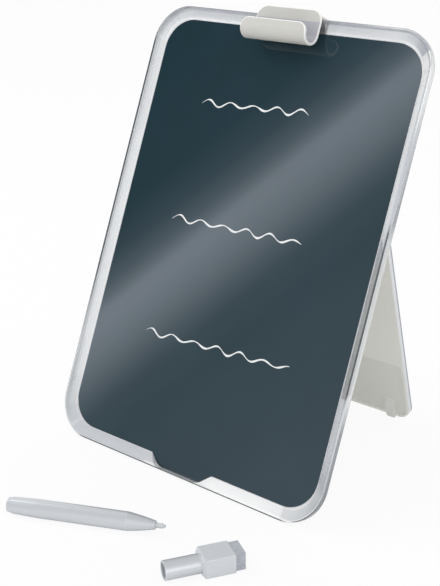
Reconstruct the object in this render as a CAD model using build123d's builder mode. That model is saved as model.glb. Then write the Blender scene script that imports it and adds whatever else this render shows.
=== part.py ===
from build123d import *
from math import cos, radians, sin, tan
import os

os.makedirs("parts", exist_ok=True)

# Desk whiteboard on a fold-out stand, with a pen clip on its top edge and a pen and its cap
# lying in front. Millimetres. X runs across the board, -Y is the front, Z is up and the desk
# is z = 0. The origin is the middle of the flat foot that the board's bottom edge stands on.
# Board pieces are drawn in the board's own plane: x across, y up the slope (called s), and
# depth d, which is 0 at the face of the dark panel and positive towards the viewer.

# ---------------------------------------------------------------- driving dimensions
board_tilt = 22.9             # lean of the board from vertical, degrees
open_angle = 39.2             # stand to board when the stand is fully open, degrees

panel_w = 210.0               # dark writing panel, A4
panel_h = 297.0
panel_r = 21.5                # its corner radius
panel_t = 1.8                 # its thickness
border = 8.5                  # clear border around the panel
frame_r = 27.0                # outer corner radius of the clear frame
rim_rise = 4.4                # how far the rim stands in front of the panel
rim_flat = 1.0                # flat crest of the rim
rim_edge = 0.5                # rounding of its outer edge
rim_wall = 4.0                # height of the outer wall of the rim
bevel_angle = 45.0            # slope of the bevel behind that wall
frame_back = 4.4              # rear face of the frame behind the panel's face
panel_gap = 0.25              # gap between the panel and the frame around it

tab_mouth = 52.6              # width of the tab where it leaves the panel's bottom edge
tab_floor = 1.15              # clear wall left below the tab
tab_mouth_r = 5.5             # rounding where the tab leaves the panel
tab_floor_r = 9.0             # rounding of the tab's lower corners

sheet_t = 0.5                 # steel sheet behind the panel
sheet_inset = 1.0             # how far it stays inside the panel's outline
tape_t = 0.5                  # foam tape between the sheet and the frame's ledge
tape_w = 10.0
ledge_w = 19.0                # ledge of the frame behind the panel's edge
ledge_r = 6.0                 # corner radius of the opening inside the ledge
foot_bar_h = 9.0              # thickened bar along the bottom edge: its height up the slope
foot_bar_taper = 20.0         # and the length over which each of its ends runs out

cover_inset = 17.5            # rear cover: its sides inside the frame's sides
cover_low = 12.0              # its lower edge, up the slope from the board's bottom edge
cover_drop = 14.0             # its upper edge, below the frame's top edge
cover_r = 14.0
cover_depth = 7.3             # how far it stands behind the frame
rail_w = 15.2                 # its rails on both sides of the stand
cover_floor = 1.5             # its wall between the stand and the frame
cover_wall = 1.8              # its other walls
cover_edge = 1.5              # rounding of its rear edges

screw_r = 1.5                 # cover screws: shank radius
screw_head_r = 2.8
screw_head_t = 1.6
screw_cross_w = 0.7           # cross recess of the head
screw_cross_len = 3.1
screw_cross_deep = 1.0
screw_gap = 0.05              # radial gap between shank and pilot hole
screw_bite = 3.8              # length of shank inside a boss
boss_r = 3.1                  # bosses on the frame's ledge
post_r = 3.6                  # posts in the cover that meet the bosses
seat_t = 1.4                  # cover material under a screw head
screw_low_rise = 18.0         # lower side screws, above the cover's lower edge
screw_mid_drop = 72.0         # upper side screws, below the hinge axis
top_screw_in = 36.0           # pair of screws in the top, in from the cover's sides
top_screw_drop = 7.0          # their row, below the cover's upper edge

hinge_drop = 72.0             # hinge axis of the stand, below the frame's top edge
hinge_back = 4.6              # and behind the frame's rear face
pin_r = 1.5                   # steel hinge pins
pin_len = 30.0
pin_room = 0.5                # bore left beyond the pin's inner end
pin_edge = 0.25               # bevel of its ends
pin_gap = 0.04                # running gap of the pins in the cover
pin_hold = 0.01               # gap of the pins in the stand, a tight fit
pin_end_inset = 0.5           # pin end inside the cover's side face

stand_t = 5.0                 # stand plate
stand_side_gap = 0.6          # gap to the cover's rails
stand_r = 10.0                # its lower corners
stand_edge = 0.7              # rounding of its edges
stand_heel = 1.2              # plate's edge above the hinge axis
stand_clear = 2.1             # how high the plate's lower edge stays above the tip of its feet
stand_skin = 1.7              # front skin of the stand
stand_rim = 2.4               # its edge walls and ribs on the rear side
stand_rib = 1.6
stand_cells_across = 4        # cells between the ribs
stand_cells_up = 3
stand_head = 14.0             # solid band at the hinge
stand_tail = 22.0             # solid band around the feet
stand_bay_gap = 3.5           # from the hinge axis up to the cover's wall above it
inlay_rise = 48.8             # shallow field on the stand's front, up from its lower edge
inlay_depth = 0.7
inlay_margin = 2.0
inlay_r = 3.0

pad_foot_w = 8.0              # soft feet let into the stand's lower edge
pad_foot_len = 16.0           # length inside the stand
pad_foot_r = 3.2              # rounding of their lower corners
pad_foot_in = 16.4            # their middle, in from the stand's sides
pad_foot_proud = 0.3          # how far they stand out of the plate's faces
pad_foot_gap = 0.1
pad_peg_r = 1.4               # retaining peg above each foot
pad_peg_len = 4.0
pad_tip_extra = 0.6           # trimmed off level with the desk

clip_w = 53.0                 # pen clip
clip_wall = 2.0               # hook over the top edge
clip_back_wall = 1.6          # plate behind the trough
clip_lip_wall = 2.2           # lip in front of it
clip_gap = 0.3                # gap to the frame that it slides on
clip_lip_drop = 6.7           # top of the front lip, below the frame's top edge
clip_floor_drop = 19.5        # underside of the trough
clip_plate_rise = 5.5         # plate above the frame's top edge
clip_plate_r = 8.5            # its upper corners
hook_w = 49.0                 # hook over the top edge
clip_lip_r = 6.5              # the lip's upper corners
clip_edge = 0.6               # rounding of the lip's, plate's and trough's edges
clip_back_leg = 1.9           # thickness of the leg behind the frame
clip_cover_gap = 3.5          # from the rear cover up to the end of that leg

pen_r = 5.9                   # pen
pen_len = 103.7
pen_turn = 24.7               # its direction on the desk, degrees from +X
pen_tail = (-52.1, -103.8)    # its rear end on the desk
plug_len = 3.0                # end plug
plug_r = 4.7
plug_edge = 0.8               # rounding of its end
barrel_tail_r = 5.2           # barrel radius at the plug
barrel_taper = 17.0           # length of the tapered rear stretch
barrel_end = 79.2             # where the nose starts
barrel_wall = 1.2
nose_end = 97.4               # where the nib shows
nose_tip_r = 2.65
nose_tip_edge = 0.6           # rounding of its end
nose_mid = 88.3               # nose radius there
nose_mid_r = 4.48
nib_r = 1.6
nib_tip_r = 1.1
spigot_len = 6.0              # stretch of the nose inside the barrel
spigot_gap = 0.1
reservoir_gap = 0.3
pen_play = 0.35               # room around the pen in the clip's trough

cap_r = 5.85                  # cap
cap_turn = 59.0               # its direction on the desk, degrees from +X
cap_mouth = (72.3, -96.0)     # middle of its open end on the desk
cap_tube_len = 21.7
cap_bore_r = 4.75
cap_bore_len = 20.0
cap_block_len = 19.9          # square end, with its end plate
cap_block_w = 17.0
cap_block_h = 12.1
cap_block_edge = 0.7
cap_shoulder = 1.7            # bevel of its shoulder around the tube
cap_edge = 0.35               # rounding of the mouth and of the end plate's edges
cap_plate_t = 1.6
seal_mouth = 11.0             # depth of the seal's mouth in the bore
seal_bore_r = 2.2
seal_cone_r = 3.4
seal_floor = 1.6
magnet_w = 11.0
magnet_h = 8.4
magnet_t = 6.0
magnet_gap = 0.1
eraser_t = 6.2                # felt pad on the end plate
eraser_w = 13.8
eraser_h = 11.1

# ---------------------------------------------------------------- derived places
frame_w = panel_w + 2 * border
frame_h = panel_h + 2 * border
frame_mid = frame_h / 2
foot_bar_half = frame_w / 2 - frame_r                    # where the round corners start
cover_w = frame_w - 2 * cover_inset
cover_high = frame_h - cover_drop
hinge_s = frame_h - hinge_drop
hinge_d = frame_back + hinge_back
clip_lip_top = frame_h - clip_lip_drop
clip_floor = frame_h - clip_floor_drop
tilt_sin = sin(radians(board_tilt))
tilt_cos = cos(radians(board_tilt))
bevel = frame_back + rim_rise - rim_wall                 # depth of that bevel
foot_flat = frame_back / tilt_cos                        # depth of the flat on the desk
board = Plane(origin=(0, -foot_flat / 2, 0), x_dir=(1, 0, 0), z_dir=(0, -tilt_cos, tilt_sin))
# The same board seen from its left end: x is the depth d, y is up the slope.
board_end = Plane(origin=board.origin, x_dir=board.z_dir, z_dir=(-1, 0, 0))
pocket_w = panel_w + 2 * panel_gap
pocket_h = panel_h + 2 * panel_gap
pocket_r = panel_r + panel_gap
pocket_floor = panel_t + sheet_t + tape_t                # depth of the ledge's front face

cover_rear = frame_back + cover_depth
bay_half = cover_w / 2 - rail_w
bay_floor = frame_back + cover_floor
bay_top = hinge_s + stand_bay_gap
rail_mid = (bay_half + cover_w / 2) / 2
post_end = cover_rear - screw_head_t - seat_t            # where a boss meets its post
screw_places = [(side * rail_mid, row) for side in (-1, 1)
                for row in (cover_low + screw_low_rise, hinge_s - screw_mid_drop)]
screw_places += [(side * (cover_w / 2 - top_screw_in), cover_high - top_screw_drop)
                 for side in (-1, 1)]

stand_w = 2 * (bay_half - stand_side_gap)
pad_foot_x = stand_w / 2 - pad_foot_in
lean = open_angle - board_tilt                           # stand from vertical
hinge = board.from_local_coords((0, hinge_s, -hinge_d))
stand = Plane(origin=hinge, x_dir=(1, 0, 0),
              z_dir=(0, -cos(radians(lean)), -sin(radians(lean))))
foot_half_t = stand_t / 2 + pad_foot_proud
stand_reach = (hinge.Z - foot_half_t * sin(radians(lean))) / cos(radians(lean))
stand_len = stand_reach - stand_clear                    # axis to the plate's lower edge


# ---------------------------------------------------------------- panel outline
# Rounded panel with the tab in the middle of its bottom edge.
tab_half = tab_mouth / 2
tab_drop = border - tab_floor
with BuildSketch() as panel_outline:
    with Locations((0, frame_mid)):
        RectangleRounded(panel_w, panel_h, panel_r)
    Polygon((-tab_half, border + panel_r), (-tab_half, border), (-tab_half + tab_drop, tab_floor),
            (tab_half - tab_drop, tab_floor), (tab_half, border), (tab_half, border + panel_r),
            align=None)
    tab_corners = panel_outline.vertices().group_by(Axis.Y)[0]
    mouth_corners = panel_outline.vertices().group_by(Axis.Y)[1].filter_by_position(
        Axis.X, -tab_mouth, tab_mouth)
    fillet(tab_corners, radius=tab_floor_r)
    fillet(mouth_corners, radius=tab_mouth_r)

# ---------------------------------------------------------------- clear frame
with BuildPart() as clear_frame:
    with BuildSketch(board.offset(-frame_back)):
        with Locations((0, frame_mid)):
            RectangleRounded(frame_w, frame_h, frame_r)
    extrude(amount=frame_back + rim_rise)
    rear_outline = clear_frame.faces().sort_by(Axis(board.origin, board.z_dir))[0].edges()
    chamfer(rear_outline, length=bevel, length2=bevel * tan(radians(bevel_angle)))
    # Bar along the bottom edge, drawn from below and cut level with the desk.
    with BuildSketch(Plane(origin=board.origin, x_dir=(1, 0, 0), z_dir=board.y_dir)):
        Polygon((-foot_bar_half, 0), (foot_bar_half, 0),
                (foot_bar_half - foot_bar_taper, frame_back),
                (foot_bar_taper - foot_bar_half, frame_back), align=None)
    extrude(amount=foot_bar_h)
    split(bisect_by=Plane.XY, keep=Keep.TOP)
    # Sloping bezel from the panel's face up to the crest of the rim.
    with BuildSketch(board):
        with Locations((0, frame_mid)):
            RectangleRounded(pocket_w, pocket_h, pocket_r)
    with BuildSketch(board.offset(rim_rise)):
        with Locations((0, frame_mid)):
            RectangleRounded(frame_w - 2 * rim_flat, frame_h - 2 * rim_flat, frame_r - rim_flat)
    loft(ruled=True, mode=Mode.SUBTRACT)
    crest = clear_frame.faces().sort_by(Axis(board.origin, board.z_dir))[-1]
    fillet(crest.outer_wire().edges(), radius=rim_edge)
    # Seat of the panel and its tab, open to the front.
    with BuildSketch(board.offset(-panel_t)):
        add(panel_outline.sketch)
        offset(amount=panel_gap)
    extrude(amount=panel_t + rim_rise, mode=Mode.SUBTRACT)
    # Room for the steel sheet and the tape, then the opening inside the ledge.
    with BuildSketch(board.offset(-pocket_floor)):
        with Locations((0, frame_mid)):
            RectangleRounded(pocket_w, pocket_h, pocket_r)
    extrude(amount=pocket_floor, mode=Mode.SUBTRACT)
    with BuildSketch(board.offset(-frame_back)):
        with Locations((0, frame_mid)):
            RectangleRounded(pocket_w - 2 * ledge_w, pocket_h - 2 * ledge_w, ledge_r)
    extrude(amount=frame_back, mode=Mode.SUBTRACT)
    # Screw bosses behind the ledge, with their pilot holes.
    with BuildSketch(board.offset(-frame_back)):
        with Locations(*screw_places):
            Circle(boss_r)
    extrude(amount=frame_back - post_end)
    with BuildSketch(board.offset(-post_end)):
        with Locations(*screw_places):
            Circle(screw_r + screw_gap)
    extrude(amount=screw_bite + screw_gap, mode=Mode.SUBTRACT)
clear_frame.part.label = "clear_frame"
export_step(clear_frame.part, "parts/clear_frame.step")

# ---------------------------------------------------------------- panel, sheet and tape
with BuildPart() as writing_panel:
    with BuildSketch(board.offset(-panel_t)):
        add(panel_outline.sketch)
    extrude(amount=panel_t)
writing_panel.part.label = "writing_panel"
export_step(writing_panel.part, "parts/writing_panel.step")

with BuildPart() as steel_sheet:
    with BuildSketch(board.offset(-panel_t - sheet_t)):
        with Locations((0, frame_mid)):
            RectangleRounded(panel_w - 2 * sheet_inset, panel_h - 2 * sheet_inset,
                             panel_r - sheet_inset)
    extrude(amount=sheet_t)
steel_sheet.part.label = "steel_sheet"
export_step(steel_sheet.part, "parts/steel_sheet.step")

tape_x = pocket_w / 2 - ledge_w / 2
tape_s = pocket_h / 2 - ledge_w / 2
tape_side_len = pocket_h - 2 * (ledge_w + ledge_r)
tape_end_len = pocket_w - 2 * (ledge_w + ledge_r)
with BuildPart() as bonding_tape:
    with BuildSketch(board.offset(-pocket_floor)):
        with Locations((-tape_x, frame_mid), (tape_x, frame_mid)):
            Rectangle(tape_w, tape_side_len)
        with Locations((0, frame_mid - tape_s), (0, frame_mid + tape_s)):
            Rectangle(tape_end_len, tape_w)
    extrude(amount=tape_t)
bonding_tape.part.label = "bonding_tape"
export_step(bonding_tape.part, "parts/bonding_tape.step")

# ---------------------------------------------------------------- rear cover and its screws
cover_mid = (cover_low + cover_high) / 2
cover_h = cover_high - cover_low
pocket_depth = cover_depth - cover_wall
rail_pocket_w = cover_w / 2 - bay_half - 2 * cover_wall
rail_pocket_top = hinge_s - 2 * stand_bay_gap
with BuildPart() as rear_cover:
    with BuildSketch(board.offset(-cover_rear)):
        with Locations((0, cover_mid)):
            RectangleRounded(cover_w, cover_h, cover_r)
    extrude(amount=cover_depth)
    rear_rim = rear_cover.faces().sort_by(Axis(board.origin, board.z_dir))[0].edges()
    fillet(rear_rim, radius=cover_edge)
    # Bay that the stand folds into, open at the bottom.
    with BuildSketch(board.offset(-cover_rear)):
        with Locations((0, (bay_top + cover_low - cover_r) / 2)):
            Rectangle(2 * bay_half, bay_top - cover_low + cover_r)
    extrude(amount=cover_rear - bay_floor, mode=Mode.SUBTRACT)
    # Hollow rails and top, open towards the frame.
    rail_pocket_low = cover_low + cover_r / 2
    with BuildSketch(board.offset(-frame_back)):
        with Locations((-rail_mid, (rail_pocket_low + rail_pocket_top) / 2),
                       (rail_mid, (rail_pocket_low + rail_pocket_top) / 2)):
            RectangleRounded(rail_pocket_w, rail_pocket_top - rail_pocket_low, cover_wall)
        with Locations((0, (bay_top + cover_high) / 2)):
            RectangleRounded(cover_w - 2 * cover_wall, cover_high - bay_top - 2 * cover_wall,
                             cover_r - cover_wall)
    extrude(amount=-pocket_depth, mode=Mode.SUBTRACT)
    # Screw posts, their clearance holes and the recesses for the heads.
    with BuildSketch(board.offset(cover_wall - cover_rear)):
        with Locations(*screw_places):
            Circle(post_r)
    extrude(amount=cover_rear - cover_wall - post_end)
    with BuildSketch(board.offset(-cover_rear)):
        with Locations(*screw_places):
            Circle(screw_r + 2 * screw_gap)
    extrude(amount=cover_rear - post_end, mode=Mode.SUBTRACT)
    with BuildSketch(board.offset(-cover_rear)):
        with Locations(*screw_places):
            Circle(screw_head_r + 2 * screw_gap)
    extrude(amount=screw_head_t, mode=Mode.SUBTRACT)
    # Bore of the two hinge pins, in from each side.
    with BuildSketch(Plane(origin=hinge, x_dir=(0, 1, 0), z_dir=(1, 0, 0))):
        Circle(pin_r + pin_gap)
    extrude(amount=cover_w / 2, both=True, mode=Mode.SUBTRACT)
rear_cover.part.label = "rear_cover"
export_step(rear_cover.part, "parts/rear_cover.step")

screw_len = seat_t + screw_bite
with BuildPart() as cover_screws:
    with BuildSketch(board.offset(-cover_rear)):
        with Locations(*screw_places):
            Circle(screw_head_r)
    extrude(amount=screw_head_t)
    with BuildSketch(board.offset(screw_head_t - cover_rear)):
        with Locations(*screw_places):
            Circle(screw_r)
    extrude(amount=screw_len)
    # Cross recess of each head.
    with BuildSketch(board.offset(-cover_rear)):
        with Locations(*screw_places):
            Rectangle(screw_cross_len, screw_cross_w)
            Rectangle(screw_cross_w, screw_cross_len)
    extrude(amount=screw_cross_deep, mode=Mode.SUBTRACT)
cover_screws.part.label = "cover_screws"
export_step(cover_screws.part, "parts/cover_screws.step")

# ---------------------------------------------------------------- stand, pins and feet
notch_w = pad_foot_w + 2 * pad_foot_gap
notch_len = pad_foot_len + pad_foot_gap
foot_places = [(-pad_foot_x, -stand_len), (pad_foot_x, -stand_len)]
rib_step = (stand_w - 2 * stand_rim) / stand_cells_across
cell_low = -stand_len + stand_tail
cell_high = -stand_head
cell_h = (cell_high - cell_low + stand_rib) / stand_cells_up - stand_rib
cell_w = rib_step - stand_rib
pin_out = cover_w / 2 - pin_end_inset                    # outer end of each pin
pin_bore_len = pin_len - (pin_out - stand_w / 2) + pin_room
with BuildPart() as stand_plate:
    with BuildSketch(stand.offset(-stand_t / 2)) as stand_shape:
        with Locations((0, (stand_heel - stand_len) / 2)):
            Rectangle(stand_w, stand_len + stand_heel)
        lower_corners = stand_shape.vertices().group_by(Axis.Y)[0]
        fillet(lower_corners, radius=stand_r)
    extrude(amount=stand_t)
    both_faces = stand_plate.faces().sort_by(Axis(hinge, stand.z_dir))
    fillet(both_faces[0].edges() + both_faces[-1].edges(), radius=stand_edge)
    # Shallow field low on the front face.
    with BuildSketch(stand.offset(stand_t / 2)) as field:
        with Locations((0, -stand_len + (inlay_rise + inlay_margin) / 2)):
            Rectangle(stand_w - 2 * inlay_margin, inlay_rise - inlay_margin)
        fillet(field.vertices().group_by(Axis.Y)[0], radius=stand_r - inlay_margin)
        fillet(field.vertices().group_by(Axis.Y)[-1], radius=inlay_r)
    extrude(amount=-inlay_depth, mode=Mode.SUBTRACT)
    # Cells between the ribs, open to the rear.
    with BuildSketch(stand.offset(-stand_t / 2)):
        with Locations((0, (cell_low + cell_high) / 2)):
            with GridLocations(rib_step, cell_h + stand_rib, stand_cells_across, stand_cells_up):
                RectangleRounded(cell_w, cell_h, stand_rib)
    extrude(amount=stand_t - stand_skin - inlay_depth, mode=Mode.SUBTRACT)
    # Notches for the feet and the holes for their pegs.
    with BuildSketch(stand.offset(-stand_t / 2)):
        with Locations(*foot_places):
            Rectangle(notch_w, 2 * notch_len)
    extrude(amount=stand_t, mode=Mode.SUBTRACT)
    peg_plane = Plane(origin=stand.from_local_coords((0, -stand_len + pad_foot_len, 0)),
                      x_dir=(1, 0, 0), z_dir=stand.y_dir)
    with BuildSketch(peg_plane):
        with Locations((-pad_foot_x, 0), (pad_foot_x, 0)):
            Circle(pad_peg_r + pad_foot_gap)
    extrude(amount=pad_peg_len + 2 * pad_foot_gap, mode=Mode.SUBTRACT)
    # Bores for the hinge pins, in from each side.
    for side in (-1, 1):
        with BuildSketch(Plane(origin=hinge + Vector(side * stand_w / 2, 0, 0), x_dir=(0, 1, 0),
                               z_dir=(side, 0, 0))):
            Circle(pin_r + pin_hold)
        extrude(amount=-pin_bore_len, mode=Mode.SUBTRACT)
stand_plate.part.label = "stand_plate"
export_step(stand_plate.part, "parts/stand_plate.step")

for side, name in ((-1, "hinge_pin_left"), (1, "hinge_pin_right")):
    with BuildPart() as hinge_pin:
        with BuildSketch(Plane(origin=hinge + Vector(side * pin_out, 0, 0), x_dir=(0, 1, 0),
                               z_dir=(-side, 0, 0))):
            Circle(pin_r)
        extrude(amount=pin_len)
        chamfer(hinge_pin.edges().filter_by(GeomType.CIRCLE), length=pin_edge)
    hinge_pin.part.label = name
    export_step(hinge_pin.part, f"parts/{name}.step")

foot_len = pad_foot_len + stand_clear + pad_tip_extra
for side, name in ((-1, "stand_foot_left"), (1, "stand_foot_right")):
    with BuildPart() as stand_foot:
        with BuildSketch(stand.offset(-foot_half_t)) as foot_shape:
            with Locations((side * pad_foot_x, -stand_len + pad_foot_len - foot_len / 2)):
                Rectangle(pad_foot_w, foot_len)
            fillet(foot_shape.vertices().group_by(Axis.Y)[0], radius=pad_foot_r)
        extrude(amount=2 * foot_half_t)
        with BuildSketch(peg_plane):
            with Locations((side * pad_foot_x, 0)):
                Circle(pad_peg_r)
        extrude(amount=pad_peg_len)
        split(bisect_by=Plane.XY, keep=Keep.TOP)
    stand_foot.part.label = name
    export_step(stand_foot.part, f"parts/{name}.step")

# ---------------------------------------------------------------- pen clip
trough_r = pen_r + pen_play
leg_front = rim_rise + clip_gap                          # rear face of the plate
trough_mid = leg_front + clip_back_wall + trough_r
trough_out_r = trough_r + (clip_back_wall + clip_lip_wall) / 2
trough_out_mid = leg_front + trough_out_r
trough_centre = clip_floor + trough_out_r
hook_top = frame_h + clip_gap
hook_rear = -frame_back - clip_gap
hook_out = hook_rear - clip_back_leg
hook_low = cover_high + clip_cover_gap
bevel_turn = clip_gap * tan(radians(bevel_angle / 2))    # keeps the gap even along the bevel
with BuildPart() as pen_clip:
    # Trough: round floor, front lip and the lower part of its back wall.
    with BuildSketch(board_end):
        with Locations((trough_out_mid, trough_centre)):
            Circle(trough_out_r)
            Rectangle(2 * trough_out_r, clip_lip_top - trough_centre,
                      align=(Align.CENTER, Align.MIN))
        with Locations((trough_out_mid, clip_lip_top)):
            Rectangle(2 * trough_out_r, trough_out_r, align=(Align.CENTER, Align.MIN),
                      mode=Mode.SUBTRACT)
        with Locations((trough_mid, trough_centre)):
            Circle(trough_r, mode=Mode.SUBTRACT)
            Rectangle(2 * trough_r, trough_out_r, align=(Align.CENTER, Align.MIN),
                      mode=Mode.SUBTRACT)
    extrude(amount=clip_w / 2, both=True)
    lip_corners = pen_clip.edges().filter_by(Axis(board.origin, board.z_dir))
    fillet(lip_corners.sort_by(Axis(board.origin, board.z_dir))[-2:], radius=clip_lip_r)
    # Plate that rises above the frame's top edge, with round upper corners.
    with BuildSketch(board.offset(leg_front)) as plate:
        with Locations((0, trough_centre)):
            Rectangle(clip_w, frame_h + clip_plate_rise - trough_centre,
                      align=(Align.CENTER, Align.MIN))
        fillet(plate.vertices().group_by(Axis.Y)[-1], radius=clip_plate_r)
    extrude(amount=clip_back_wall)
    # Hook over the frame's top edge and down behind its bevel.
    with BuildSketch(board_end):
        with BuildLine():
            Polyline((leg_front, hook_top),
                     (rim_rise - rim_wall - bevel_turn, hook_top),
                     (hook_rear, frame_h - bevel + bevel_turn),
                     (hook_rear, hook_low),
                     (hook_out, hook_low),
                     (hook_out, hook_top + clip_wall - clip_edge),
                     (hook_out + clip_edge, hook_top + clip_wall),
                     (leg_front, hook_top + clip_wall), close=True)
        make_face()
    extrude(amount=hook_w / 2, both=True)
    # Rounded edges, from the lip round the trough's ends to the plate.
    lip_top = pen_clip.edges().filter_by(Axis.X).filter_by(
        lambda edge: abs(board.to_local_coords(edge.center()).Y - clip_lip_top) < clip_edge / 2)
    fillet(lip_top, radius=clip_edge)
pen_clip.part.label = "pen_clip"
export_step(pen_clip.part, "parts/pen_clip.step")

# ---------------------------------------------------------------- pen
# Turned parts: x runs from the pen's rear end to its tip, y is the radius.
pen_dir = Vector(cos(radians(pen_turn)), sin(radians(pen_turn)), 0)
pen = Plane(origin=(*pen_tail, pen_r), x_dir=pen_dir, z_dir=(pen_dir.Y, -pen_dir.X, 0))
pen_axis = Axis(pen.origin, pen_dir)
barrel_in_r = pen_r - barrel_wall
spigot_r = barrel_in_r - spigot_gap
plug_end = plug_len + spigot_len
reservoir_to = barrel_end - spigot_len - reservoir_gap
bore_from = plug_len + barrel_taper

with BuildPart() as pen_barrel:
    with BuildSketch(pen):
        with BuildLine():
            Polyline((plug_len, barrel_tail_r - barrel_wall), (plug_len, barrel_tail_r),
                     (bore_from, pen_r), (barrel_end, pen_r), (barrel_end, barrel_in_r),
                     (bore_from, barrel_in_r), close=True)
        make_face()
    revolve(axis=pen_axis)
pen_barrel.part.label = "pen_barrel"
export_step(pen_barrel.part, "parts/pen_barrel.step")

tail_bore_r = barrel_tail_r - barrel_wall - spigot_gap
with BuildPart() as pen_end_plug:
    with BuildSketch(pen) as plug_shape:
        with BuildLine():
            Polyline((0, 0), (0, plug_r), (plug_len, plug_r), (plug_len, tail_bore_r),
                     (plug_end, tail_bore_r), (plug_end, 0), close=True)
        make_face()
        outer = plug_shape.vertices().sort_by(Axis.Y)[-2:].sort_by(Axis.X)[0]
        fillet(outer, radius=plug_edge)
    revolve(axis=pen_axis)
pen_end_plug.part.label = "pen_end_plug"
export_step(pen_end_plug.part, "parts/pen_end_plug.step")

nib_hole_r = nib_r + spigot_gap
with BuildPart() as pen_nose:
    with BuildSketch(pen) as nose_shape:
        with BuildLine():
            ThreePointArc((barrel_end, pen_r), (nose_mid, nose_mid_r), (nose_end, nose_tip_r))
            Polyline((nose_end, nose_tip_r), (nose_end, nib_hole_r),
                     (barrel_end - spigot_len, nib_hole_r), (barrel_end - spigot_len, spigot_r),
                     (barrel_end, spigot_r), (barrel_end, pen_r))
        make_face()
        outer = nose_shape.vertices().sort_by(Axis.X)[-2:].sort_by(Axis.Y)[-1]
        fillet(outer, radius=nose_tip_edge)
    revolve(axis=pen_axis)
pen_nose.part.label = "pen_nose"
export_step(pen_nose.part, "parts/pen_nose.step")

with BuildPart() as pen_nib:
    with BuildSketch(pen):
        with BuildLine():
            Polyline((pen_len - nib_tip_r, 0), (barrel_end - spigot_len, 0),
                     (barrel_end - spigot_len, nib_r), (pen_len - 2 * nib_tip_r, nib_r),
                     (pen_len - nib_tip_r, nib_tip_r))
            RadiusArc((pen_len - nib_tip_r, nib_tip_r), (pen_len, 0), nib_tip_r)
            Line((pen_len, 0), (pen_len - nib_tip_r, 0))
        make_face()
    revolve(axis=pen_axis)
pen_nib.part.label = "pen_nib"
export_step(pen_nib.part, "parts/pen_nib.step")

with BuildPart() as ink_reservoir:
    with BuildSketch(Plane(origin=pen.from_local_coords((bore_from, 0, 0)), x_dir=(0, 0, 1),
                           z_dir=pen_dir)):
        Circle(barrel_in_r - reservoir_gap)
    extrude(amount=reservoir_to - bore_from)
ink_reservoir.part.label = "ink_reservoir"
export_step(ink_reservoir.part, "parts/ink_reservoir.step")

# ---------------------------------------------------------------- cap
cap_dir = Vector(cos(radians(cap_turn)), sin(radians(cap_turn)), 0)
cap = Plane(origin=(*cap_mouth, cap_block_h / 2), x_dir=(0, 0, 1), z_dir=cap_dir)
cap_end = cap_tube_len + cap_block_len
plate_from = cap_end - cap_plate_t
with BuildPart() as cap_shell:
    with BuildSketch(cap.offset(cap_tube_len)):
        Rectangle(cap_block_h, cap_block_w)
    extrude(amount=cap_block_len - cap_plate_t)
    chamfer(cap_shell.faces().sort_by(Axis(cap.origin, cap_dir))[0].edges(), length=cap_shoulder)
    fillet(cap_shell.edges().filter_by(Axis(cap.origin, cap_dir)), radius=cap_block_edge)
    with BuildSketch(cap):
        Circle(cap_r)
    extrude(amount=cap_tube_len + cap_shoulder)
    with BuildSketch(cap):
        Circle(cap_bore_r)
    extrude(amount=cap_bore_len, mode=Mode.SUBTRACT)
    with BuildSketch(cap.offset(plate_from)):
        Rectangle(magnet_h + 2 * magnet_gap, magnet_w + 2 * magnet_gap)
    extrude(amount=-magnet_t - magnet_gap, mode=Mode.SUBTRACT)
    fillet(cap_shell.faces().sort_by(Axis(cap.origin, cap_dir))[0].edges(), radius=cap_edge)
cap_shell.part.label = "cap_shell"
export_step(cap_shell.part, "parts/cap_shell.step")

with BuildPart() as cap_end_plate:
    with BuildSketch(cap.offset(plate_from)):
        RectangleRounded(cap_block_h, cap_block_w, cap_block_edge)
    extrude(amount=cap_plate_t)
    fillet(cap_end_plate.faces().sort_by(Axis(cap.origin, cap_dir))[-1].edges(), radius=cap_edge)
cap_end_plate.part.label = "cap_end_plate"
export_step(cap_end_plate.part, "parts/cap_end_plate.step")

with BuildPart() as cap_magnet:
    with BuildSketch(cap.offset(plate_from - magnet_t)):
        Rectangle(magnet_h, magnet_w)
    extrude(amount=magnet_t)
cap_magnet.part.label = "cap_magnet"
export_step(cap_magnet.part, "parts/cap_magnet.step")

with BuildPart() as cap_seal:
    with BuildSketch(cap.offset(seal_mouth)):
        Circle(cap_bore_r)
    extrude(amount=cap_bore_len - seal_mouth)
    with BuildSketch(cap.offset(seal_mouth)):
        Circle(seal_bore_r)
    extrude(amount=cap_bore_len - seal_mouth - seal_floor, mode=Mode.SUBTRACT)
    mouth_edge = cap_seal.faces().sort_by(Axis(cap.origin, cap_dir))[0].edges().sort_by(SortBy.LENGTH)[0]
    chamfer(mouth_edge, length=seal_cone_r - seal_bore_r)
cap_seal.part.label = "cap_seal"
export_step(cap_seal.part, "parts/cap_seal.step")

with BuildPart() as eraser_pad:
    with BuildSketch(cap.offset(cap_end)):
        Rectangle(eraser_h, eraser_w)
    extrude(amount=eraser_t)
eraser_pad.part.label = "eraser_pad"
export_step(eraser_pad.part, "parts/eraser_pad.step")
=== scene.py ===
import math

import bmesh
import bpy
from mathutils import Matrix, Vector


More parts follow.
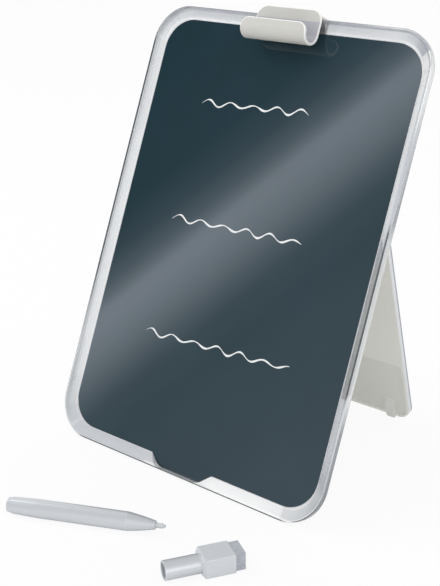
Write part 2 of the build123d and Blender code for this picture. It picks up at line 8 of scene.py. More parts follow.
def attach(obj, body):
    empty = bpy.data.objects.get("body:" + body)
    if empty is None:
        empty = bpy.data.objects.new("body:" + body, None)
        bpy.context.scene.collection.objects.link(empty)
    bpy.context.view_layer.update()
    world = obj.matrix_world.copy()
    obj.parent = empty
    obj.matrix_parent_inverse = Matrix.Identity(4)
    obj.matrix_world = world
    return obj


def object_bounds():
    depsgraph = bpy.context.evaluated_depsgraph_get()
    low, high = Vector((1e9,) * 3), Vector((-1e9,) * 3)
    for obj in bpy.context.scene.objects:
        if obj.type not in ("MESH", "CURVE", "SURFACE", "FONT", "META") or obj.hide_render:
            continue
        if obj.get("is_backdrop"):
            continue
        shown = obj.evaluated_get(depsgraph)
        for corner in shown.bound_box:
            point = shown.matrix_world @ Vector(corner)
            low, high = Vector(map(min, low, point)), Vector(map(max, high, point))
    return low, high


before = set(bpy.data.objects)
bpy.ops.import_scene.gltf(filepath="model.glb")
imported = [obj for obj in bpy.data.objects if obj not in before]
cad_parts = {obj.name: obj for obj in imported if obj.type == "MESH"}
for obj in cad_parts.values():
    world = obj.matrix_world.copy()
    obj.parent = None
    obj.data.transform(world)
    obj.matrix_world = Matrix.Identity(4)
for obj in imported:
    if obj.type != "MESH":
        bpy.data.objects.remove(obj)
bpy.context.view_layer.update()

# ------------------------------------------------------------------ clear frame
# The raised rim and sloping bezel round the panel. Clear polystyrene, injection moulded in a
# polished tool, so it is glass-like, with faint flow marks. The dark panel is let into it from the
# front. Its colour holds painted highlights, painted shade and painted reflections: bright and
# dark lines where its edges would bend the light, and lighter and darker stretches on each border.
board_tilt = math.radians(22.9)
board_foot = 0.002388       # the panel's face starts this far in front of the origin
frame_half_w = 0.1135
frame_h = 0.314
frame_r = 0.027
border = 0.0085
wall_foot, wall_top = 0.0004, 0.0040    # the outer wall, out from the panel's face
near = 0.0001               # a place this near to a face belongs to it
hairline = 0.00001          # a fade this narrow is a hard edge
flow_mark = 25              # from one flow mark to the next, in millimetres


def linear(code):
    """An sRGB hex colour as linear red, green, blue and alpha."""
    parts = [int(code[i:i + 2], 16) / 255 for i in (1, 3, 5)]
    return [*(c / 12.92 if c <= 0.04045 else ((c + 0.055) / 1.055) ** 2.4 for c in parts), 1.0]


def live(sockets, name=None):
    """The first socket that a node's settings leave in use, or the first of that name."""
    return next(s for s in sockets if s.enabled and name in (None, s.name))


def join(tree, node, inputs):
    """Sets a node's inputs, each to a value, a hex colour, or the node or socket that feeds it."""
    for name, value in inputs.items():
        socket = node.inputs[name] if isinstance(name, int) else live(node.inputs, name)
        if isinstance(value, bpy.types.Node):
            value = live(value.outputs)
        if isinstance(value, bpy.types.NodeSocket):
            tree.links.new(value, socket)
        else:
            socket.default_value = linear(value) if isinstance(value, str) else value


def add(tree, kind, inputs=None, stops=(), **settings):
    """Adds a node with its settings, its links, and its stops, each a place and a colour."""
    made = tree.nodes.new("ShaderNode" + kind)
    for name, value in settings.items():
        setattr(made, name, value)
    if stops:
        points = made.color_ramp.elements
        while len(points) < len(stops):
            points.new(1.0)
        for point, (place, tone) in zip(points, stops):
            point.position = place
            point.color = linear(tone) if isinstance(tone, str) else tone
    join(tree, made, inputs or {})
    return made


def start(name, inputs):
    """A new material with these values on its shader; gives it, its tree and the shader."""
    made = bpy.data.materials.new(name)
    made.use_nodes = True
    shader = made.node_tree.nodes["Principled BSDF"]
    join(made.node_tree, shader, inputs)
    return made, made.node_tree, shader


def dress(material, *names):
    """Gives these CAD pieces their material."""
    for name in names:
        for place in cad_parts[name].material_slots:
            place.material = material


def on_board(tree):
    """Places in the board's own directions, in metres: across, up the slope, out of the glass."""
    turn = board_tilt - math.pi / 2
    return add(tree, "Mapping", {
        "Vector": add(tree, "TexCoord").outputs["Object"],
        "Location": (0, board_foot * math.cos(turn), -board_foot * math.cos(board_tilt)),
        "Rotation": (turn, 0, 0)})


def inside_by(tree, spot, half_across, low, high, radius):
    """How far a place lies inside a rounded rectangle drawn on the board."""
    flat = add(tree, "VectorMath", {0: spot, 1: (1, 1, 0)}, operation="MULTIPLY")
    centred = add(tree, "VectorMath", {0: flat, 1: (0, (low + high) / 2, 0)}, operation="SUBTRACT")
    folded = add(tree, "VectorMath", {0: centred}, operation="ABSOLUTE")
    straight = (half_across - radius, (high - low) / 2 - radius, 0)
    past = add(tree, "VectorMath", {0: folded, 1: straight}, operation="SUBTRACT")
    corner = add(tree, "VectorMath", {0: past, 1: (0, 0, 0)}, operation="MAXIMUM")
    off_corner = add(tree, "VectorMath", {0: corner}, operation="LENGTH")
    sides = add(tree, "SeparateXYZ", {"Vector": past}).outputs
    further = add(tree, "Math", {0: sides["X"], 1: sides["Y"]}, operation="MAXIMUM")
    along = add(tree, "Math", {0: further, 1: 0.0}, operation="MINIMUM")
    outside = add(tree, "Math", {0: off_corner, 1: along}, operation="ADD")
    return add(tree, "Math", {0: radius, 1: outside}, operation="SUBTRACT")


def touch_in(tree, colour, tone, strength, *reaches):
    """Lays a tone over a colour; a reach is a measure and the two places it fades in between."""
    share = strength
    for measure, low, high in reaches:
        fade = add(tree, "MapRange", {"Value": measure, "From Min": low, "From Max": high})
        share = add(tree, "Math", {0: share, 1: fade}, operation="MULTIPLY")
    return add(tree, "Mix", {"Factor": share, "A": colour, "B": tone}, data_type="RGBA")


# The painted tone goes by how far a place lies inside the frame's outline, which follows its round
# corners: a painted dark line on the outer rounding, a painted highlight on the crest, then
# painted grey going over to pale.
clear_styrene, tree, shader = start("clear polystyrene, polished", {
    "Roughness": 0.03, "IOR": 1.08, "Coat Weight": 1.0, "Coat Roughness": 0.03})
spot = on_board(tree)
across, up, out = add(tree, "SeparateXYZ", {"Vector": spot}).outputs
inset = inside_by(tree, spot, frame_half_w, 0.0, frame_h, frame_r)
rightwards = add(tree, "VectorMath", {0: spot, 1: (0.9, 0.5, 0)}, operation="DOT_PRODUCT")
corner_middle = (frame_half_w - frame_r, frame_h - frame_r, 0)
from_corner = add(tree, "VectorMath", {0: spot, 1: corner_middle}, operation="SUBTRACT")
corner_x, corner_s, _ = add(tree, "SeparateXYZ", {"Vector": from_corner}).outputs
around = add(tree, "Math", {0: corner_s, 1: corner_x}, operation="ARCTAN2")
inwards = add(tree, "MapRange", {"Value": inset, "From Min": 0.0, "From Max": border})
on_right = (across, 0.098, 0.104)
past_crest = (inset, 0.0013, 0.0016)
above_crease = (around, 0.58, 0.62)
bezel = add(tree, "ValToRGB", {"Fac": inwards}, stops=(
    (0.0, "#4C5258"), (0.065, "#5C6268"), (0.085, "#FAFBFC"), (0.125, "#F4F6F8"),
    (0.15, "#D3D6DA"), (0.4, "#DBDEE1"), (0.85, "#E4E6E8"), (0.90, "#FFFFFF")))

# Each border bends the light its own way, so these painted highlights, painted shade and painted
# reflections go over it one after the other. Each has its strength and its reaches: the measure
# and the two places it fades in between.
for tone, strength, *reaches in (
        # The right border: painted shade, grey low down, and a painted near-white highlight high
        # up.
        ("#A9ACB4", 0.9, (across, 0.102, 0.106), (up, 0.010, 0.030), (up, 0.095, 0.080)),
        ("#F1F3F3", 0.8, on_right, (up, 0.235, 0.275)),
        # A painted highlight on the rounding along the right and top; the groove beside it painted
        # dark.
        ("#F6F8FA", 0.8, (rightwards, 0.0985, 0.1585), (inset, 0.0014, 0.0011)),
        ("#7E848B", 0.75, past_crest, (inset, 0.0032, 0.0019), (rightwards, 0.0985, 0.1785)),
        # A painted lilac reflection high on the right, then the stretch in front of the stand:
        # painted even grey for the stand in shade seen through it, with a painted dark line along
        # its outside.
        ("#BCC0C7", 0.9, (inset, 0.0044, 0.0030), (across, 0.100, 0.104),
         (up, 0.182, 0.194), (up, 0.262, 0.240)),
        ("#AAADB2", 1.0, (inset, 0.0020, 0.0024), on_right, (up, 0.082, 0.084),
         (up, 0.195, 0.180)),
        ("#2F3740", 1.0, (inset, 0.0007, 0.0009), (inset, 0.0032, 0.0025),
         (across, 0.105, 0.108), (up, 0.078, 0.088), (up, 0.196, 0.188)),
        # Painted shade on the top border up to its right corner, and in that corner above the
        # crease, which runs from the corner's middle to its outline.
        ("#A0A3AC", 0.75, (up, 0.290, 0.304), (inset, 0.0080, 0.0015), above_crease,
         (across, 0.085, 0.050)),
        ("#9195A0", 0.85, (around, 1.75, 0.75), above_crease, (across, 0.060, 0.090),
         (inset, 0.0084, 0.0066)),
        # The bottom border: painted grey shade on the left, painted near-white light on the right
        # and under the tab, and a painted dark shadow line below it.
        ("#D6D9DE", 0.9, (up, 0.032, 0.010), (across, 0.0, -0.04)),
        ("#F7F8F8", 0.8, (up, 0.020, 0.009), (across, 0.0, 0.03), (across, 0.106, 0.070)),
        ("#FBFCFC", 0.95, (up, 0.0026, 0.0020), (across, -0.030, -0.026)),
        ("#3A4249", 0.95, (up, 0.0010, 0.0007)),
        # The left border: a painted pale highlight, with a painted dark line along its outer edge.
        ("#F4F5F7", 0.9, (across, -0.098, -0.104), past_crest, (inset, 0.0050, 0.0035),
         (up, 0.040, 0.070), (up, 0.295, 0.280)),
        ("#353F46", 1.0, (inset, 0.0018, 0.0013), (across, -0.1080, -0.1100),
         (up, 0.06, 0.12), (up, 0.300, 0.285))):
    bezel = touch_in(tree, bezel, tone, strength, *reaches)

# The outer wall, painted with shade and reflections, its own painted tones up the right side, and
# the back of the moulding.
from_back = add(tree, "MapRange", {"Value": out, "From Min": wall_foot, "From Max": wall_top})
wall = add(tree, "ValToRGB", {"Fac": from_back}, stops=(
    (0.0, "#A9ADB3"), (0.25, "#D3D6DA"), (0.8, "#C3C7CC"), (1.0, "#8E9399")))
height = add(tree, "MapRange", {"Value": up, "From Max": frame_h})
# Painted reflections up the right wall: dark, then bright, grey and bright again.
wall_painted_light = add(tree, "ValToRGB", {"Fac": height}, stops=(
    (0.2, "#7A8087"), (0.27, "#F4F6F8"), (0.58, "#F4F6F8"), (0.63, "#A3A8AF"), (0.72, "#A9AEB4"),
    (0.80, "#C6C9CE"), (0.87, "#F3F4F6")))
wall = touch_in(tree, wall, wall_painted_light, 0.85, (across, 0.105, 0.110))
# The bezel's painted highlights, shade and reflections meet the wall's painted tones here.
bezel_painted_light = touch_in(tree, bezel, wall, 1.0, (inset, near + hairline, near),
                  (out, wall_top + hairline, wall_top))
bezel_painted_light = touch_in(tree, bezel_painted_light, "#E4E6E9", 1.0, (out, wall_foot, wall_foot - near))

# The thin outer wall catches the light, and the thick foot bar below is a little milky, so less
# light goes straight through them than through the bezel.
wall_clear, bezel_clear, bar_share = 0.45, 0.88, 0.2
see_through = add(tree, "MapRange", {
    "Value": inset, "From Min": 0.0010, "From Max": 0.0016,
    "To Min": wall_clear, "To Max": bezel_clear})
milky = add(tree, "MapRange", {
    "Value": up, "From Min": 0.004, "From Max": 0.045, "To Min": bar_share, "To Max": 1.0})
clear = add(tree, "Math", {0: see_through, 1: milky}, operation="MULTIPLY")
flow = add(tree, "TexNoise", {
    "Vector": add(tree, "TexCoord").outputs["Object"], "Scale": 1000 / flow_mark, "Detail": 2.0})
wave = add(tree, "Bump", {"Height": flow, "Strength": 0.03, "Distance": 0.0005})
join(tree, shader, {"Base Color": bezel_painted_light, "Transmission Weight": clear, "Normal": wave})
dress(clear_styrene, "clear_frame")

# ------------------------------------------------------------------ writing panel
# The sheet to write on, let into the frame. Glass, painted dark teal-grey on its back and with
# polished edges. Ink that was wiped off leaves a faint haze on it.
smear = 70                  # across one smear of the haze, in millimetres
painted_glass, tree, shader = start("back-painted glass", {"Roughness": 0.03, "IOR": 1.52})
haze = add(tree, "TexNoise", {
    "Vector": add(tree, "TexCoord").outputs["Object"], "Scale": 1000 / smear, "Detail": 5.0,
    "Roughness": 0.6})
tint = add(tree, "ValToRGB", {"Fac": haze}, stops=((0.35, "#22363E"), (0.7, "#263A43")))
join(tree, shader, {"Base Color": tint})
dress(painted_glass, "writing_panel")

# Three plain wavy strokes of white marker ink on the glass, dried to a matt film that is thicker
# along its middle. Each has its left and right end, the height of its left end and its rise. All
# sizes are in millimetres, and a wave is 2 pi times as long as the number that it has here.
strokes = ((-59, 31, 249, 4.0), (-60, 50, 167, 3.0), (-58, 64, 86, 5.0))
swing_rise, swing_wave, swing_slow_wave = 2.4, 3.1, 11.0
line_half, line_change, line_wave, line_slow_wave = 0.55, 0.25, 2.3, 7.0
end_share, end_growth = 0.35, 12        # of its width, at the ends and from there on
film_rise, film_fall = 0.07, 0.04
film_t = 0.01
ink_streak = 1.1
ink_film = bmesh.new()
for left, right, low, rise in strokes:
    ribbon = bmesh.ops.create_grid(ink_film, x_segments=120, y_segments=3, size=0.5)["verts"]
    for vert in ribbon:
        share, side = vert.co.x + 0.5, 2 * vert.co.y
        along = left + (right - left) * share
        swing = swing_rise * math.sin(along / swing_wave)
        swing *= 0.75 + 0.25 * math.sin(along / swing_slow_wave)
        change = math.sin(along / line_wave + 1.0) * math.sin(along / line_slow_wave)
        half = line_half + line_change * change
        half *= min(1.0, end_share + end_growth * share, end_share + end_growth * (1 - share))
        slope = low + rise * share + swing + side * half
        proud = film_rise - film_fall * side * side
        back = slope * math.sin(board_tilt) - proud * math.cos(board_tilt)
        high = slope * math.cos(board_tilt) + proud * math.sin(board_tilt)
        vert.co = (along / 1000, -board_foot + back / 1000, high / 1000)
bmesh.ops.solidify(ink_film, geom=ink_film.faces[:], thickness=film_t / 1000)
bmesh.ops.recalc_face_normals(ink_film, faces=ink_film.faces[:])
# The film's edge faces come in a different order on each run, so they are put in a fixed one.
ink_film.verts.index_update()
ink_film.faces.sort(key=lambda face: face.verts[0].index + face.verts[1].index / 10000)
ink_mesh = bpy.data.meshes.new("marker_strokes")
ink_film.to_mesh(ink_mesh)
ink_film.free()
marker_strokes = bpy.data.objects.new("marker_strokes", ink_mesh)
bpy.context.scene.collection.objects.link(marker_strokes)
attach(marker_strokes, "board")
marker_ink, tree, shader = start("white marker ink", {"Roughness": 0.7})
streak = add(tree, "TexNoise", {
    "Vector": add(tree, "TexCoord").outputs["Object"], "Scale": 1000 / ink_streak, "Detail": 3.0})
tint = add(tree, "ValToRGB", {"Fac": streak}, stops=((0.3, "#D6DADC"), (0.6, "#EEF0F0")))
join(tree, shader, {"Base Color": tint})
marker_strokes.data.materials.append(marker_ink)

# ------------------------------------------------------------------ steel sheet and tape
# Thin sheet of hot-dip zinc-plated steel behind the glass, which magnets hold on to. It has
# spangles of about 5 mm and is stuck down on strips of white foam tape, whose cells are drawn
# about three times as coarse as they are, to show.
spangle_size, foam_cell = 5.5, 1.1      # in millimetres
zinc_sheet, tree, shader = start("zinc-plated steel", {"Base Color": "#9A9DA0", "Metallic": 1.0})
spangle = add(tree, "TexVoronoi", {
    "Vector": add(tree, "TexCoord").outputs["Object"], "Scale": 1000 / spangle_size})
matt = add(tree, "MapRange", {"Value": spangle, "To Min": 0.32, "To Max": 0.5})
join(tree, shader, {"Roughness": matt})
dress(zinc_sheet, "steel_sheet")

foam_tape, tree, shader = start("white foam tape", {"Base Color": "#EDEDE8", "Roughness": 0.9})
cells = add(tree, "TexVoronoi", {
    "Vector": add(tree, "TexCoord").outputs["Object"], "Scale": 1000 / foam_cell})
pit = add(tree, "Bump", {"Height": cells, "Strength": 0.3, "Distance": 0.0003})
join(tree, shader, {"Normal": pit})
dress(foam_tape, "bonding_tape")

# ------------------------------------------------------------------ rear cover
# Large shallow box screwed on behind the frame. Warm light grey ABS, moulded in a tool with a
# spark-eroded texture, so it is satin. The texture's grains are really about 0.1 mm and are
# drawn at 0.4 mm, to show at all.
tool_grain = 0.4            # across one grain, in millimetres
shade_patch = 80            # and across one patch of shade and one of wear
rubbed_patch = 1.1


def painted_edge_highlight(tree, colour, tone, radius):
    """A colour that goes over to a paler one along edges: a painted highlight where they catch
    light.
    """
    rounded = add(tree, "Bevel", {"Radius": radius}, samples=6)
    flat = add(tree, "NewGeometry").outputs["Normal"]
    even = add(tree, "VectorMath", {0: rounded, 1: flat}, operation="DOT_PRODUCT")
    return touch_in(tree, colour, tone, 1.0, (even, 0.995, 0.85))


def satin_grain(tree, depth):
    """The fine grain of a spark-eroded moulding tool; depth is its strength."""
    grain = add(tree, "TexNoise", {
        "Vector": add(tree, "TexCoord").outputs["Object"], "Scale": 1000 / tool_grain,
        "Detail": 2.0})
    return add(tree, "Bump", {"Height": grain, "Strength": depth, "Distance": 0.0001})


def soft_shade(tree, size, *stops):
    """A moulded colour that varies a little, in patches of this size in millimetres."""
    shade = add(tree, "TexNoise", {
        "Vector": add(tree, "TexCoord").outputs["Object"], "Scale": 1000 / size, "Detail": 3.0})
    return add(tree, "ValToRGB", {"Fac": shade}, stops=stops)


grey_abs, tree, shader = start("warm grey ABS, fine texture", {"Roughness": 0.45, "IOR": 1.5})
tint = soft_shade(tree, shade_patch, (0.3, "#E5E4DE"), (0.7, "#EAE9E3"))
# The cover's edges get a painted highlight.
join(tree, shader, {"Base Color": painted_edge_highlight(tree, tint, "#F6F5F1", 0.0006),
                    "Normal": satin_grain(tree, 0.15)})
dress(grey_abs, "rear_cover")

# Zinc-plated screws, rubbed here and there, with the hinge pins and the cap's magnet in the
# same plated steel.
plated_steel, tree, shader = start("zinc-plated screw steel", {
    "Base Color": "#A6A8AA", "Metallic": 1.0})
wear = add(tree, "TexNoise", {
    "Vector": add(tree, "TexCoord").outputs["Object"], "Scale": 1000 / rubbed_patch})
matt = add(tree, "MapRange", {"Value": wear, "To Min": 0.22, "To Max": 0.42})
join(tree, shader, {"Roughness": matt})
dress(plated_steel, "cover_screws", "hinge_pin_left", "hinge_pin_right", "cap_magnet")

# ------------------------------------------------------------------ stand
# Plate of the same grey ABS that folds out on two steel pins, its grey painted a little lighter
# than the cover's as painted light against the shade behind the board. Its front has a shallow
# smooth field low down, a tone darker, and its side walls are painted pale as a painted
# highlight, with a thin painted grey shade line behind.
stand_lean = math.radians(16.3)
hinge_y, hinge_z = 0.10007, 0.219425
stand_side = 0.0802 - 0.0006    # across to where its side walls start to round over
side_fade = 0.0003
field_top = -0.1765             # up from the hinge
field_face = 0.0018             # and out from it
stand_abs, tree, shader = start("warm grey ABS, stand", {"Roughness": 0.45, "IOR": 1.5})
turn = -math.pi / 2 - stand_lean
upright = add(tree, "Mapping", {
    "Vector": add(tree, "TexCoord").outputs["Object"],
    "Location": (0, -(hinge_y * math.cos(turn) - hinge_z * math.sin(turn)),
                 -(hinge_y * math.sin(turn) + hinge_z * math.cos(turn))),
    "Rotation": (turn, 0, 0)})
across, up, out = add(tree, "SeparateXYZ", {"Vector": upright}).outputs
# The plate's grey is painted lighter than the cover's: painted light against its shade.
tint = soft_shade(tree, shade_patch, (0.3, "#F1F1EC"), (0.7, "#F5F5F0"))
field = soft_shade(tree, shade_patch, (0.3, "#E5E6E1"), (0.7, "#E9EAE5"))
both = touch_in(tree, tint, field, 1.0,
                (out, field_face + near + hairline, field_face + near),
                (out, field_face - near, field_face - near + hairline),
                (up, field_top, field_top - hairline))
# The plate's edges get a painted highlight.
edge_highlighted = painted_edge_highlight(tree, both, "#F8F7F4", 0.0008)
# The side walls painted pale as a painted highlight, then a thin painted grey shade line behind.
side = add(tree, "Math", {0: across}, operation="ABSOLUTE")
stand_sides_painted_light = touch_in(tree, edge_highlighted, "#E0E2E4", 1.0, (side, stand_side, stand_side + side_fade))
stand_sides_painted_light = touch_in(tree, stand_sides_painted_light, "#9DA3AE", 1.0, (side, stand_side - side_fade, stand_side),
                  (out, -0.0004, -0.0009))
join(tree, shader, {"Base Color": stand_sides_painted_light, "Normal": satin_grain(tree, 0.15)})
dress(stand_abs, "stand_plate")

# Soft feet let into the plate's lower edge. Clear polyurethane, cast, but milky enough that
# little light goes straight through, so they look nearly white, with a painted highlight on their
# rounded edges.
milky_patch = 8                 # in millimetres
clear_pad, tree, shader = start("clear polyurethane", {
    "Roughness": 0.08, "IOR": 1.45, "Transmission Weight": 0.08, "Coat Weight": 1.0,
    "Coat Roughness": 0.1})
tint = soft_shade(tree, milky_patch, (0.3, "#EFF0ED"), (0.7, "#FAFBF9"))
join(tree, shader, {"Base Color": painted_edge_highlight(tree, tint, "#FAFBFA", 0.0010)})
dress(clear_pad, "stand_foot_left", "stand_foot_right")

# ------------------------------------------------------------------ pen clip
# One moulded hook of cream white ABS with a satin surface, and a painted highlight along its
# edges. It hangs on the frame's top edge and holds the pen in its trough, whose inside is painted
# a darker grey as painted shade.
clip_half_w = 0.0265
trough_s, trough_d = 0.30265, 0.01255       # middle of the trough, up the board and out of it
trough_r = 0.00645
shade_top = 0.3115                          # the trough's shade ends here, up the board
lip_top, lip_r = 0.3073, 0.0065             # upper edge and round corners of its lip
plate_top, plate_r = 0.3195, 0.0085         # and of the plate behind the trough
well_below = 0.2                            # where neither outline matters any more
cream_patch = 16                            # in millimetres
cream_abs, tree, shader = start("cream white ABS, satin", {"Roughness": 0.35, "IOR": 1.5})
spot = on_board(tree)
across, up, out = add(tree, "SeparateXYZ", {"Vector": spot}).outputs
# The trough is a half round that is open above, so `far` is the distance from its middle.
level = add(tree, "Math", {0: up, 1: trough_s}, operation="SUBTRACT")
below = add(tree, "Math", {0: level, 1: 0.0}, operation="MINIMUM")
away = add(tree, "Math", {0: out, 1: trough_d}, operation="SUBTRACT")
reach = add(tree, "CombineXYZ", {"X": away, "Y": below})
far = add(tree, "VectorMath", {0: reach}, operation="LENGTH")
tint = soft_shade(tree, cream_patch, (0.3, "#C8C7C1"), (0.7, "#CCCBC6"))
# The trough's inside, below shade_top, is painted grey-lilac: painted shade.
body = touch_in(tree, tint, "#B0B1B7", 1.0, (far, trough_r + hairline, trough_r),
                (up, shade_top + hairline, shade_top))
# A painted highlight along the lip's and the plate's outlines, where their rounded edges catch
# light.
from_lip = inside_by(tree, spot, clip_half_w, well_below, lip_top, lip_r)
from_plate = inside_by(tree, spot, clip_half_w, well_below, plate_top, plate_r)
on_lip = add(tree, "Math", {0: out, 1: trough_d}, operation="GREATER_THAN")
edge = add(tree, "Mix", {"Factor": on_lip, "A": from_plate, "B": from_lip})
edge_highlighted = touch_in(tree, body, "#FBFBF9", 1.0, (edge, 0.0008, 0.0004))
join(tree, shader, {"Base Color": edge_highlighted, "Normal": satin_grain(tree, 0.08)})
dress(cream_abs, "pen_clip")

# ------------------------------------------------------------------ pen and cap
# Moulded polypropylene with a pearl pigment, silver grey with a breath of blue. Its flakes are
# really about 0.05 mm and are drawn at 0.4 mm, to show at all. The pen and the cap's round tube
# come out of the mould polished, and the cap's square block comes out satin.
cap_mouth = (0.0723, -0.0960, 0)
cap_way = (0.5150, 0.8572, 0)       # from the mouth to the block
cap_tube_len = 0.0217
polish_end = cap_tube_len - 0.0005  # from here on the finish goes over to satin
pearl_flake = 0.4                   # in millimetres
pearl, tree, shader = start("pearl polypropylene", {"IOR": 1.45})
flake = add(tree, "TexVoronoi", {
    "Vector": add(tree, "TexCoord").outputs["Object"], "Scale": 1000 / pearl_flake})
tint = add(tree, "ValToRGB", {"Fac": flake}, stops=((0.0, "#D7DADE"), (1.0, "#CED1D5")))
from_mouth = add(tree, "VectorMath", {0: add(tree, "TexCoord").outputs["Object"], 1: cap_mouth},
                 operation="SUBTRACT")
along = add(tree, "VectorMath", {0: from_mouth, 1: cap_way}, operation="DOT_PRODUCT")
matt = add(tree, "MapRange", {
    "Value": along, "From Min": polish_end, "From Max": cap_tube_len,
    "To Min": 0.33, "To Max": 0.42})
flaky = add(tree, "MapRange", {
    "Value": along, "From Min": polish_end, "From Max": cap_tube_len,
    "To Min": 0.45, "To Max": 0.1})
# The pen's and the cap's edges get a painted highlight.
join(tree, shader, {"Base Color": painted_edge_highlight(tree, tint, "#E3E5E8", 0.0004),
                    "Roughness": matt, "Metallic": flaky})
dress(pearl, "pen_barrel", "pen_nose", "pen_end_plug", "cap_shell", "cap_end_plate")

# The nib and the ink's core are pressed fibre, pale because the ink is white. The fibres are
# drawn 0.5 mm apart, to show. The seal in the cap is soft moulded polypropylene.
ink_fibre, seal_patch = 0.5, 6      # in millimetres
ink_felt, tree, shader = start("ink-soaked fibre", {"Roughness": 0.6})
fibre = add(tree, "TexNoise", {
    "Vector": add(tree, "TexCoord").outputs["Object"], "Scale": 1000 / ink_fibre, "Detail": 3.0})
tint = add(tree, "ValToRGB", {"Fac": fibre}, stops=((0.3, "#C3C6C9"), (0.7, "#DBDDDF")))
join(tree, shader, {"Base Color": tint})
dress(ink_felt, "pen_nib", "ink_reservoir")
seal_pp, tree, shader = start("soft white polypropylene", {"Roughness": 0.5})
tint = soft_shade(tree, seal_patch, (0.3, "#D3D5D7"), (0.7, "#DDDFE1"))
join(tree, shader, {"Base Color": tint})
dress(seal_pp, "cap_seal")

# The eraser glued on the cap is pressed grey felt. Its fibres are drawn 0.7 mm apart, to show.
felt_fibre = 0.7                    # in millimetres
felt, tree, shader = start("pressed grey felt", {
    "Roughness": 0.95, "Sheen Weight": 0.4, "Sheen Roughness": 0.5})
fibre = add(tree, "TexNoise", {
    "Vector": add(tree, "TexCoord").outputs["Object"], "Scale": 1000 / felt_fibre, "Detail": 4.0,
    "Distortion": 1.5})
tint = add(tree, "ValToRGB", {"Fac": fibre}, stops=((0.35, "#989CA6"), (0.65, "#C6CAD2")))
nap = add(tree, "Bump", {"Height": fibre, "Strength": 0.7, "Distance": 0.0004})
join(tree, shader, {"Base Color": tint, "Normal": nap})
dress(felt, "eraser_pad")

# ------------------------------------------------------------------ table and light
# A plain white lacquered table that goes on into a white room. The camera and the clear frame see
# it as white of its own, with a little of the lacquer mixed in, which keeps the soft shadow.
table_half = 4.0
own_white = 0.9             # the share of its own white, the rest is lacquer


def emptied(holder):
    """The node tree of a material or a world, with nothing in it."""
    holder.use_nodes = True
    holder.node_tree.nodes.clear()
    return holder.node_tree


def in_view(tree, ray):
    """One where the camera looks, also through the clear frame, and nothing for other rays."""
    return add(tree, "Math", {0: ray["Is Camera Ray"], 1: ray["Is Transmission Ray"]},
               operation="MAXIMUM")


def flat_square(name, half, at=Matrix.Identity(4)):
    """A square that belongs to the stage, at its place in the room."""
    square = bmesh.new()
    bmesh.ops.create_grid(square, x_segments=1, y_segments=1, size=half, matrix=at)
    made = bpy.data.meshes.new(name)
    square.to_mesh(made)
    square.free()
    placed = bpy.data.objects.new(name, made)
    bpy.context.scene.collection.objects.link(placed)
    placed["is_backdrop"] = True
    return placed


table_top = flat_square("table_top", table_half)
white_table = bpy.data.materials.new("white lacquer table")
tree = emptied(white_table)
seen = in_view(tree, add(tree, "LightPath").outputs)
share = add(tree, "Math", {0: seen, 1: own_white}, operation="MULTIPLY")
lacquer = add(tree, "BsdfDiffuse", {"Color": "#F4F4F4"})
white = add(tree, "Emission", {"Color": "#FFFFFF", "Strength": 1.0})
mixed = add(tree, "MixShader", {0: share, 1: lacquer, 2: white})
add(tree, "OutputMaterial", {"Surface": mixed})
table_top.data.materials.append(white_table)

# The room is white where it is seen. It lights the object a little less than that, and in
# reflections it is dimmer to the front left and overhead, as a studio is.
room_light = 0.88
front_level, overhead_level = 0.25, 0.55
room = bpy.data.worlds.new("white room")
bpy.context.scene.world = room
tree = emptied(room)
ray = add(tree, "LightPath").outputs
seen = in_view(tree, ray)
heading = add(tree, "SeparateXYZ", {"Vector": add(tree, "TexCoord").outputs["Generated"]}).outputs
front = add(tree, "MapRange", {
    "Value": heading["Y"], "From Min": -0.6, "From Max": 0.1,
    "To Min": front_level, "To Max": 1.0})
right = add(tree, "MapRange", {
    "Value": heading["X"], "From Min": -0.25, "From Max": 0.05, "To Min": 0.0, "To Max": 1.0})
sides = add(tree, "Math", {0: front, 1: right}, operation="MAXIMUM")
overhead = add(tree, "MapRange", {
    "Value": heading["Z"], "From Min": 0.6, "From Max": 0.95,
    "To Min": 1.0, "To Max": overhead_level})
dim = add(tree, "Math", {0: sides, 1: overhead}, operation="MULTIPLY")
plain = add(tree, "Mix", {"Factor": ray["Is Glossy Ray"], "A": room_light, "B": dim})
strength = add(tree, "Mix", {"Factor": seen, "A": plain, "B": 1.0})
air = add(tree, "Background", {"Color": "#FFFFFF", "Strength": strength})
add(tree, "OutputWorld", {"Surface": air})


def lamp(name, at, towards, size, power):
    """A soft square lamp at a place, turned towards a point."""
    light = bpy.data.lights.new(name, "AREA")
    light.size, light.energy = size, power
    placed = bpy.data.objects.new(name, light)
    placed.location = at
    placed.rotation_euler = (Vector(towards) - Vector(at)).to_track_quat("-Z", "Y").to_euler()
    bpy.context.scene.collection.objects.link(placed)
    placed.visible_camera = False


lamp("soft lamp above left", (-0.95, -0.45, 1.22), (0, 0.05, 0.12), 0.7, 5.2)
lamp("soft lamp low right", (0.95, -0.55, 0.35), (0.05, 0.13, 0.08), 0.5, 1.0)

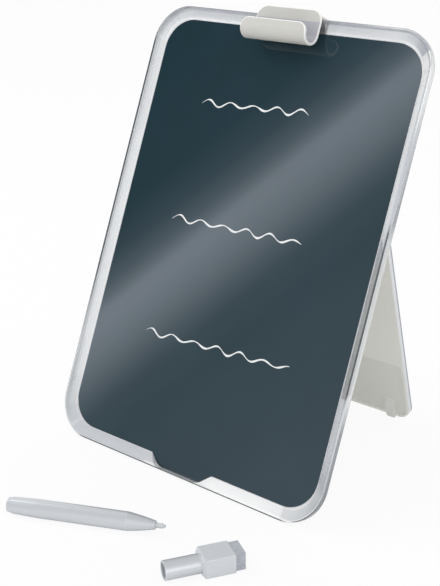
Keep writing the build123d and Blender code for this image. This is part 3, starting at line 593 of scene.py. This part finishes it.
# A soft strip lamp on the left gives the glass its diagonal sheen: brightest near its upper edge,
# then fading. Only reflections show it. Each fall is a distance across the strip in millimetres,
# from its middle, and a level. Towards both ends of the strip the light fades out.
strip_middle = Vector((-0.7689, -0.8576, 0.6559))
strip_along = Vector((0.5122, 0.0067, 0.8588))
strip_across = Vector((0.6197, -0.6952, -0.3642))
strip_half = 0.88
strip_falls = (
    (-269, 0.0), (-107, 0.03), (-54, 0.15), (-21, 0.39), (-5, 0.62), (11, 0.98), (29, 1.0),
    (54, 0.87), (81, 0.68), (107, 0.45), (143, 0.21), (197, 0.16), (286, 0.20), (430, 0.25),
    (620, 0.25), (860, 0.0))
strip_power = 3.4
strip_tint = (0.86, 0.91, 1.0)          # a cool white, as linear light
fade_from, fade_to = 0.6, strip_half - 0.02     # along it, from its middle
strip_out = strip_along.cross(strip_across)
strip_turn = Matrix((strip_along, strip_across, strip_out)).transposed().to_4x4()
strip_screen = flat_square("strip_screen", strip_half,
                           Matrix.Translation(strip_middle) @ strip_turn)
for kind in ("camera", "diffuse", "transmission", "volume_scatter", "shadow"):
    setattr(strip_screen, "visible_" + kind, False)
strip_light = bpy.data.materials.new("strip screen light")
tree = emptied(strip_light)
spot = add(tree, "TexCoord").outputs["Object"]
off_middle = add(tree, "VectorMath", {0: spot, 1: strip_middle}, operation="SUBTRACT")
down = add(tree, "VectorMath", {0: off_middle, 1: strip_across}, operation="DOT_PRODUCT")
first, last = strip_falls[0][0] / 1000, strip_falls[-1][0] / 1000
share = add(tree, "MapRange", {"Value": down, "From Min": first, "From Max": last})
fade = add(tree, "ValToRGB", {"Fac": share}, stops=[
    ((at / 1000 - first) / (last - first), (*(part * level for part in strip_tint), 1.0))
    for at, level in strip_falls])
length = add(tree, "VectorMath", {0: off_middle, 1: strip_along}, operation="DOT_PRODUCT")
along = add(tree, "Math", {0: length}, operation="ABSOLUTE")
ends = add(tree, "MapRange", {
    "Value": along, "From Min": fade_from, "From Max": fade_to,
    "To Min": strip_power, "To Max": 0.0})
glow = add(tree, "Emission", {"Color": fade, "Strength": ends})
add(tree, "OutputMaterial", {"Surface": glow})
strip_screen.data.materials.append(strip_light)

# ------------------------------------------------------------------ camera
# Stands to the right of the board and a little above it, looking down on it, where a camera
# fitted to the photograph's outlines stands. The small shifts only frame the picture.
lens = bpy.data.cameras.new("camera")
lens.sensor_width = 36.0
lens.lens = 71.87
lens.shift_x = -0.0309
lens.shift_y = -0.0538
lens.clip_end = 20.0
camera = bpy.data.objects.new("camera", lens)
camera.location = (0.466, -0.513, 0.3926)
camera.rotation_euler = (math.radians(90 - 19.25), 0, math.radians(39.07))
bpy.context.scene.collection.objects.link(camera)
bpy.context.scene.camera = camera
bpy.context.scene.view_settings.view_transform = "Standard"

low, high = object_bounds()
